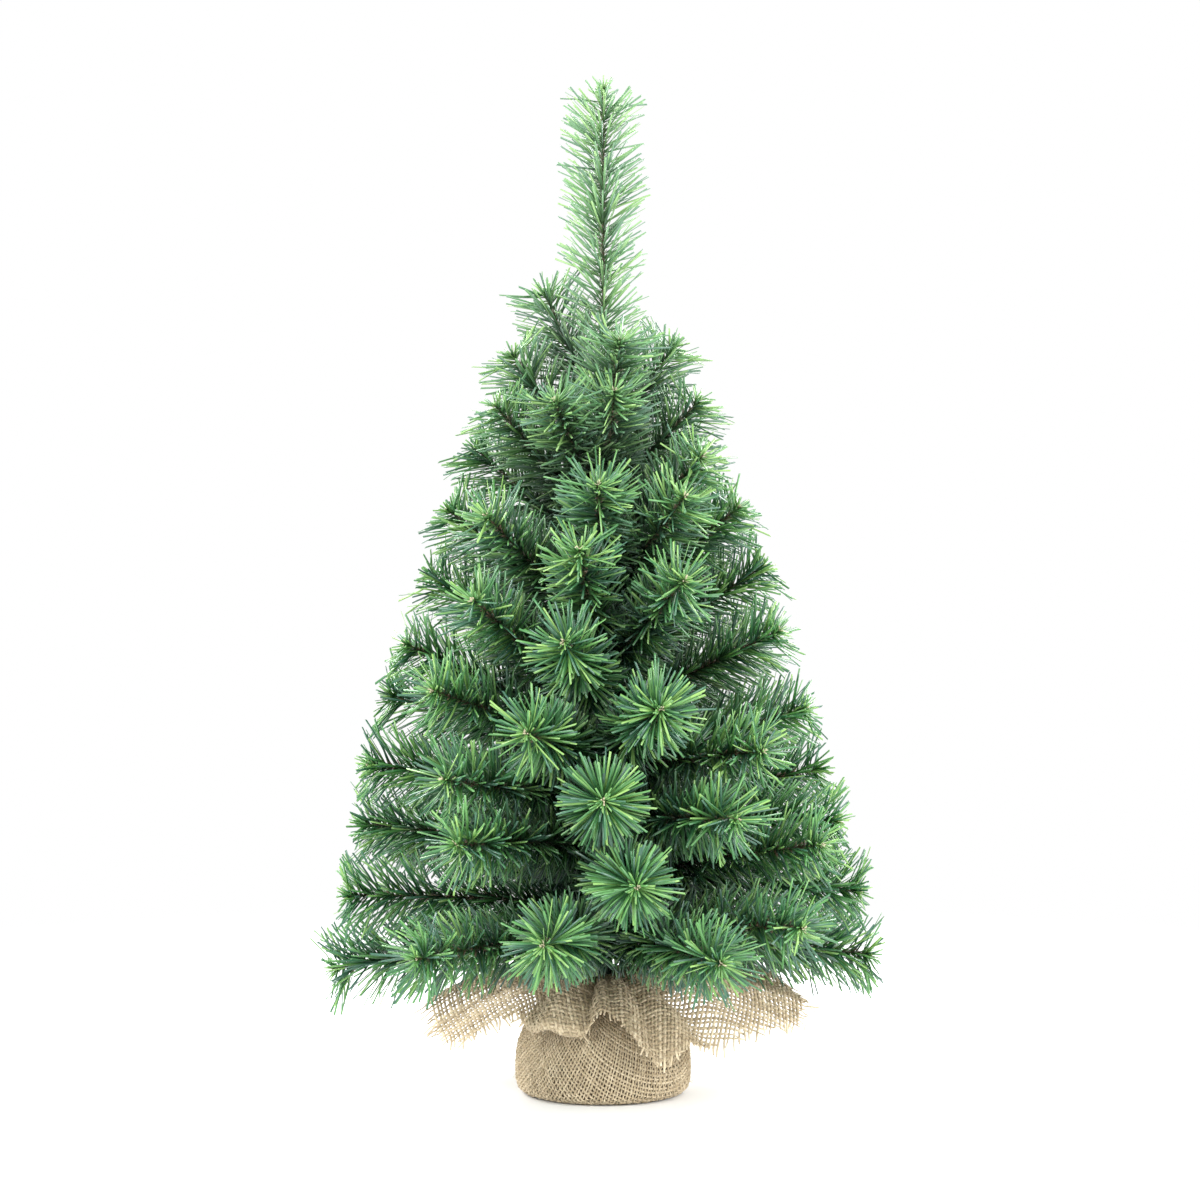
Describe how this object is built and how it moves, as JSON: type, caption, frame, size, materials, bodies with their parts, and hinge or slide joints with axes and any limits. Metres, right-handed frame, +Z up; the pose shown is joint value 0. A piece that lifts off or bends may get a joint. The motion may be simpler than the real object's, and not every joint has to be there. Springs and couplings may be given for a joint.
{
  "type": "artificial tabletop tree",
  "caption": "Small artificial fir tree with bendable brush-like needle branches on a taped trunk, standing in a weighted burlap-wrapped base.",
  "frame": {"origin": "centre of the flat underside of the wrapped base", "axes": "+Z up along the trunk, -Y towards the front, +X to the right seen from the front"},
  "size_m": [0.3195, 0.3086, 0.596],
  "materials": {
    "cement": "rough cast cement",
    "cup_plastic": "thin matt black plastic",
    "burlap": "open plain-weave natural jute with frayed raw edges",
    "twine": "twisted jute twine",
    "rod_steel": "plain drawn steel rod",
    "trunk_pvc": "dark green PVC tape wound over the bound wires",
    "needle_pvc": "cut PVC film needles in mixed greens on a twisted wire"
  },
  "bodies": {
    "root": {"base_weight": "cement", "base_cup": "cup_plastic", "burlap_wrap": "burlap", "neck_tie": "twine", "trunk_rod": "rod_steel", "trunk_tape": "trunk_pvc"},
    "branch_1a": {"branch_1a": "needle_pvc"},
    "branch_1b": {"branch_1b": "needle_pvc"},
    "branch_1c": {"branch_1c": "needle_pvc"},
    "branch_1d": {"branch_1d": "needle_pvc"},
    "branch_1e": {"branch_1e": "needle_pvc"},
    "branch_1f": {"branch_1f": "needle_pvc"},
    "branch_2a": {"branch_2a": "needle_pvc"},
    "branch_2b": {"branch_2b": "needle_pvc"},
    "branch_2c": {"branch_2c": "needle_pvc"},
    "branch_2d": {"branch_2d": "needle_pvc"},
    "branch_2e": {"branch_2e": "needle_pvc"},
    "branch_2f": {"branch_2f": "needle_pvc"},
    "branch_2g": {"branch_2g": "needle_pvc"},
    "branch_3a": {"branch_3a": "needle_pvc"},
    "branch_3b": {"branch_3b": "needle_pvc"},
    "branch_3c": {"branch_3c": "needle_pvc"},
    "branch_3d": {"branch_3d": "needle_pvc"},
    "branch_3e": {"branch_3e": "needle_pvc"},
    "branch_3f": {"branch_3f": "needle_pvc"},
    "branch_4a": {"branch_4a": "needle_pvc"},
    "branch_4b": {"branch_4b": "needle_pvc"},
    "branch_4c": {"branch_4c": "needle_pvc"},
    "branch_4d": {"branch_4d": "needle_pvc"},
    "branch_4e": {"branch_4e": "needle_pvc"},
    "branch_4f": {"branch_4f": "needle_pvc"},
    "branch_5a": {"branch_5a": "needle_pvc"},
    "branch_5b": {"branch_5b": "needle_pvc"},
    "branch_5c": {"branch_5c": "needle_pvc"},
    "branch_5d": {"branch_5d": "needle_pvc"},
    "branch_5e": {"branch_5e": "needle_pvc"},
    "branch_6a": {"branch_6a": "needle_pvc"},
    "branch_6b": {"branch_6b": "needle_pvc"},
    "branch_6c": {"branch_6c": "needle_pvc"},
    "branch_6d": {"branch_6d": "needle_pvc"},
    "branch_6e": {"branch_6e": "needle_pvc"},
    "branch_7a": {"branch_7a": "needle_pvc"},
    "branch_7b": {"branch_7b": "needle_pvc"},
    "branch_7c": {"branch_7c": "needle_pvc"},
    "branch_7d": {"branch_7d": "needle_pvc"},
    "branch_7e": {"branch_7e": "needle_pvc"},
    "branch_7f": {"branch_7f": "needle_pvc"},
    "branch_8a": {"branch_8a": "needle_pvc"},
    "branch_8b": {"branch_8b": "needle_pvc"},
    "branch_8c": {"branch_8c": "needle_pvc"},
    "branch_8d": {"branch_8d": "needle_pvc"},
    "branch_8e": {"branch_8e": "needle_pvc"},
    "branch_8f": {"branch_8f": "needle_pvc"},
    "branch_8g": {"branch_8g": "needle_pvc"},
    "branch_9a": {"branch_9a": "needle_pvc"},
    "branch_9b": {"branch_9b": "needle_pvc"},
    "branch_9c": {"branch_9c": "needle_pvc"},
    "branch_9d": {"branch_9d": "needle_pvc"},
    "branch_9e": {"branch_9e": "needle_pvc"},
    "leader": {"leader": "needle_pvc"}
  },
  "joints": [
    {"name": "branch_1a_bend", "type": "hinge", "parent": "root", "child": "branch_1a", "pos_m": [-0.0061, -0.00021, 0.09211], "axis": [-0.0349, 0.9994, 0], "range_deg": [-14, 51]},
    {"name": "branch_1b_bend", "type": "hinge", "parent": "root", "child": "branch_1b", "pos_m": [-0.00272, -0.00546, 0.09234], "axis": [-0.8949, 0.4462, 0], "range_deg": [-28, 46]},
    {"name": "branch_1c_bend", "type": "hinge", "parent": "root", "child": "branch_1c", "pos_m": [0.0035, -0.005, 0.09413], "axis": [-0.8192, -0.5736, 0], "range_deg": [-28, 54]},
    {"name": "branch_1d_bend", "type": "hinge", "parent": "root", "child": "branch_1d", "pos_m": [0.00611, 0.00021, 0.09055], "axis": [0.0349, -0.9994, 0], "range_deg": [-11, 56]},
    {"name": "branch_1e_bend", "type": "hinge", "parent": "root", "child": "branch_1e", "pos_m": [0.00433, 0.00433, 0.08869], "axis": [0.7071, -0.7071, 0], "range_deg": [-11, 31]},
    {"name": "branch_1f_bend", "type": "hinge", "parent": "root", "child": "branch_1f", "pos_m": [-0.00278, 0.00545, 0.09012], "axis": [0.891, 0.454, 0], "range_deg": [-24, 44]},
    {"name": "branch_2a_bend", "type": "hinge", "parent": "root", "child": "branch_2a", "pos_m": [-0.00594, -0.00105, 0.1102], "axis": [-0.1736, 0.9848, 0], "range_deg": [-31, 54]},
    {"name": "branch_2b_bend", "type": "hinge", "parent": "root", "child": "branch_2b", "pos_m": [-0.0033, -0.00488, 0.14738], "axis": [-0.829, 0.5592, 0], "range_deg": [-31, 49]},
    {"name": "branch_2c_bend", "type": "hinge", "parent": "root", "child": "branch_2c", "pos_m": [0.00073, -0.00592, 0.12857], "axis": [-0.9925, -0.1219, 0], "range_deg": [-31, 44]},
    {"name": "branch_2d_bend", "type": "hinge", "parent": "root", "child": "branch_2d", "pos_m": [0.00566, -0.00189, 0.1281], "axis": [-0.3173, -0.9483, 0], "range_deg": [-24, 43]},
    {"name": "branch_2e_bend", "type": "hinge", "parent": "root", "child": "branch_2e", "pos_m": [0.0047, 0.00367, 0.12763], "axis": [0.6157, -0.788, 0], "range_deg": [-29, 39]},
    {"name": "branch_2f_bend", "type": "hinge", "parent": "root", "child": "branch_2f", "pos_m": [-0.00165, 0.00575, 0.12293], "axis": [0.9613, 0.2756, 0], "range_deg": [-30, 44]},
    {"name": "branch_2g_bend", "type": "hinge", "parent": "root", "child": "branch_2g", "pos_m": [-0.00565, 0.00173, 0.14218], "axis": [0.2924, 0.9563, 0], "range_deg": [-29, 31]},
    {"name": "branch_3a_bend", "type": "hinge", "parent": "root", "child": "branch_3a", "pos_m": [-0.00577, -0.00051, 0.17425], "axis": [-0.0872, 0.9962, 0], "range_deg": [-36, 56]},
    {"name": "branch_3b_bend", "type": "hinge", "parent": "root", "child": "branch_3b", "pos_m": [-0.00373, -0.00444, 0.17246], "axis": [-0.766, 0.6428, 0], "range_deg": [-36, 41]},
    {"name": "branch_3c_bend", "type": "hinge", "parent": "root", "child": "branch_3c", "pos_m": [0.00161, -0.00561, 0.16224], "axis": [-0.9613, -0.2756, 0], "range_deg": [-31, 41]},
    {"name": "branch_3d_bend", "type": "hinge", "parent": "root", "child": "branch_3d", "pos_m": [0.00583, -0.0002, 0.1621], "axis": [-0.0349, -0.9994, 0], "range_deg": [-28, 34]},
    {"name": "branch_3e_bend", "type": "hinge", "parent": "root", "child": "branch_3e", "pos_m": [0.00309, 0.00494, 0.16519], "axis": [0.848, -0.5299, 0], "range_deg": [-36, 41]},
    {"name": "branch_3f_bend", "type": "hinge", "parent": "root", "child": "branch_3f", "pos_m": [-0.00347, 0.00468, 0.16478], "axis": [0.8039, 0.5948, 0], "range_deg": [-36, 41]},
    {"name": "branch_4a_bend", "type": "hinge", "parent": "root", "child": "branch_4a", "pos_m": [-0.00568, 0.0003, 0.20111], "axis": [0.0523, 0.9986, 0], "range_deg": [-43, 39]},
    {"name": "branch_4b_bend", "type": "hinge", "parent": "root", "child": "branch_4b", "pos_m": [-0.00434, -0.00365, 0.20443], "axis": [-0.6428, 0.766, 0], "range_deg": [-44, 37]},
    {"name": "branch_4c_bend", "type": "hinge", "parent": "root", "child": "branch_4c", "pos_m": [-0.0002, -0.0057, 0.19645], "axis": [-0.9994, 0.0349, 0], "range_deg": [-38, 34]},
    {"name": "branch_4d_bend", "type": "hinge", "parent": "root", "child": "branch_4d", "pos_m": [0.005, -0.00277, 0.19155], "axis": [-0.4848, -0.8746, 0], "range_deg": [-29, 51]},
    {"name": "branch_4e_bend", "type": "hinge", "parent": "root", "child": "branch_4e", "pos_m": [0.00403, 0.00403, 0.19835], "axis": [0.7071, -0.7071, 0], "range_deg": [-43, 19]},
    {"name": "branch_4f_bend", "type": "hinge", "parent": "root", "child": "branch_4f", "pos_m": [-0.00249, 0.00512, 0.19928], "axis": [0.8988, 0.4384, 0], "range_deg": [-43, 41]},
    {"name": "branch_5a_bend", "type": "hinge", "parent": "root", "child": "branch_5a", "pos_m": [-0.00545, -0.00136, 0.21723], "axis": [-0.2419, 0.9703, 0], "range_deg": [-51, 44]},
    {"name": "branch_5b_bend", "type": "hinge", "parent": "root", "child": "branch_5b", "pos_m": [-0.00249, -0.005, 0.22761], "axis": [-0.8949, 0.4462, 0], "range_deg": [-46, 18]},
    {"name": "branch_5c_bend", "type": "hinge", "parent": "root", "child": "branch_5c", "pos_m": [0.00532, -0.00173, 0.22606], "axis": [-0.309, -0.9511, 0], "range_deg": [-46, 34]},
    {"name": "branch_5d_bend", "type": "hinge", "parent": "root", "child": "branch_5d", "pos_m": [0.0036, 0.00428, 0.22472], "axis": [0.766, -0.6428, 0], "range_deg": [-31, 29]},
    {"name": "branch_5e_bend", "type": "hinge", "parent": "root", "child": "branch_5e", "pos_m": [-0.00289, 0.00481, 0.22166], "axis": [0.8572, 0.515, 0], "range_deg": [-52, 43]},
    {"name": "branch_6a_bend", "type": "hinge", "parent": "root", "child": "branch_6a", "pos_m": [-0.00546, 0.00077, 0.24496], "axis": [0.1392, 0.9903, 0], "range_deg": [-59, 34]},
    {"name": "branch_6b_bend", "type": "hinge", "parent": "root", "child": "branch_6b", "pos_m": [0.00091, -0.00541, 0.25186], "axis": [-0.9863, -0.165, 0], "range_deg": [-64, 24]},
    {"name": "branch_6c_bend", "type": "hinge", "parent": "root", "child": "branch_6c", "pos_m": [0.00546, -0.00038, 0.25471], "axis": [-0.0698, -0.9976, 0], "range_deg": [-60, 35]},
    {"name": "branch_6d_bend", "type": "hinge", "parent": "root", "child": "branch_6d", "pos_m": [0.00223, 0.00501, 0.25205], "axis": [0.9135, -0.4067, 0], "range_deg": [-61, 34]},
    {"name": "branch_6e_bend", "type": "hinge", "parent": "root", "child": "branch_6e", "pos_m": [-0.00409, 0.00368, 0.24978], "axis": [0.6691, 0.7431, 0], "range_deg": [-60, 35]},
    {"name": "branch_7a_bend", "type": "hinge", "parent": "root", "child": "branch_7a", "pos_m": [-0.00536, -0.00038, 0.28212], "axis": [-0.0698, 0.9976, 0], "range_deg": [-63, 32]},
    {"name": "branch_7b_bend", "type": "hinge", "parent": "root", "child": "branch_7b", "pos_m": [-0.00388, -0.00374, 0.27786], "axis": [-0.6947, 0.7193, 0], "range_deg": [-46, 32]},
    {"name": "branch_7c_bend", "type": "hinge", "parent": "root", "child": "branch_7c", "pos_m": [0.00147, -0.00511, 0.2957], "axis": [-0.9613, -0.2756, 0], "range_deg": [-39, 26]},
    {"name": "branch_7d_bend", "type": "hinge", "parent": "root", "child": "branch_7d", "pos_m": [0.00514, -0.00147, 0.28946], "axis": [-0.2756, -0.9613, 0], "range_deg": [-44, 32]},
    {"name": "branch_7e_bend", "type": "hinge", "parent": "root", "child": "branch_7e", "pos_m": [0.00408, 0.00343, 0.29306], "axis": [0.6428, -0.766, 0], "range_deg": [-46, 24]},
    {"name": "branch_7f_bend", "type": "hinge", "parent": "root", "child": "branch_7f", "pos_m": [-0.00217, 0.00488, 0.28923], "axis": [0.9135, 0.4067, 0], "range_deg": [-64, 31]},
    {"name": "branch_8a_bend", "type": "hinge", "parent": "root", "child": "branch_8a", "pos_m": [-0.00517, 0.00073, 0.32217], "axis": [0.1392, 0.9903, 0], "range_deg": [-49, 28]},
    {"name": "branch_8b_bend", "type": "hinge", "parent": "root", "child": "branch_8b", "pos_m": [-0.00469, -0.00209, 0.34296], "axis": [-0.4067, 0.9135, 0], "range_deg": [-72, 23]},
    {"name": "branch_8c_bend", "type": "hinge", "parent": "root", "child": "branch_8c", "pos_m": [-0.00084, -0.00504, 0.3502], "axis": [-0.9863, 0.165, 0], "range_deg": [-44, 16]},
    {"name": "branch_8d_bend", "type": "hinge", "parent": "root", "child": "branch_8d", "pos_m": [0.00412, -0.00322, 0.32036], "axis": [-0.6157, -0.788, 0], "range_deg": [-66, 29]},
    {"name": "branch_8e_bend", "type": "hinge", "parent": "root", "child": "branch_8e", "pos_m": [0.00501, -0.00088, 0.35638], "axis": [-0.1736, -0.9848, 0], "range_deg": [-73, 22]},
    {"name": "branch_8f_bend", "type": "hinge", "parent": "root", "child": "branch_8f", "pos_m": [0.00289, 0.00428, 0.33651], "axis": [0.829, -0.5592, 0], "range_deg": [-71, 24]},
    {"name": "branch_8g_bend", "type": "hinge", "parent": "root", "child": "branch_8g", "pos_m": [-0.00319, 0.00408, 0.33185], "axis": [0.788, 0.6157, 0], "range_deg": [-69, 26]},
    {"name": "branch_9a_bend", "type": "hinge", "parent": "root", "child": "branch_9a", "pos_m": [-0.00492, -0.00104, 0.37142], "axis": [-0.2079, 0.9781, 0], "range_deg": [-80, 15]},
    {"name": "branch_9b_bend", "type": "hinge", "parent": "root", "child": "branch_9b", "pos_m": [-0.00463, 0.00151, 0.41112], "axis": [0.309, 0.9511, 0], "range_deg": [-91, 4]},
    {"name": "branch_9c_bend", "type": "hinge", "parent": "root", "child": "branch_9c", "pos_m": [0.00103, -0.00487, 0.38332], "axis": [-0.9781, -0.2079, 0], "range_deg": [-34, 14]},
    {"name": "branch_9d_bend", "type": "hinge", "parent": "root", "child": "branch_9d", "pos_m": [0.00488, 0.00086, 0.39017], "axis": [0.1736, -0.9848, 0], "range_deg": [-82, 13]},
    {"name": "branch_9e_bend", "type": "hinge", "parent": "root", "child": "branch_9e", "pos_m": [0.00069, 0.00494, 0.38092], "axis": [0.9903, -0.1392, 0], "range_deg": [-81, 14]},
    {"name": "leader_bend", "type": "hinge", "parent": "root", "child": "leader", "pos_m": [0, 0, 0.4059], "axis": [1, 0, 0], "range_deg": [-35, 35]}
  ]
}
